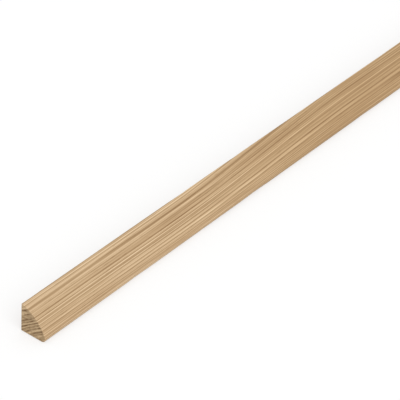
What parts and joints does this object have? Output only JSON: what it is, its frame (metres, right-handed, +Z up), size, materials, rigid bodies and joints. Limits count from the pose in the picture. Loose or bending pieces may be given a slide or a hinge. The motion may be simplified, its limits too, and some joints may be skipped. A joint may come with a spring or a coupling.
{
  "type": "quarter round moulding",
  "caption": "Straight stick of planed softwood with a flat back, a flat bottom and a convex quarter round face, used to cover the joint where a floor meets a wall.",
  "frame": {"origin": "centre of the stick's bounding box at floor level, under the middle of its length", "axes": "+Y along the stick's length, +Z up, -X out of the flat back face, +X towards the toe of the curved face"},
  "size_m": [0.0178, 2.4384, 0.0189],
  "materials": {
    "softwood": "planed bare softwood with fine straight grain, not sealed or painted"
  },
  "bodies": {
    "root": {"moulding": "softwood"}
  },
  "joints": []
}
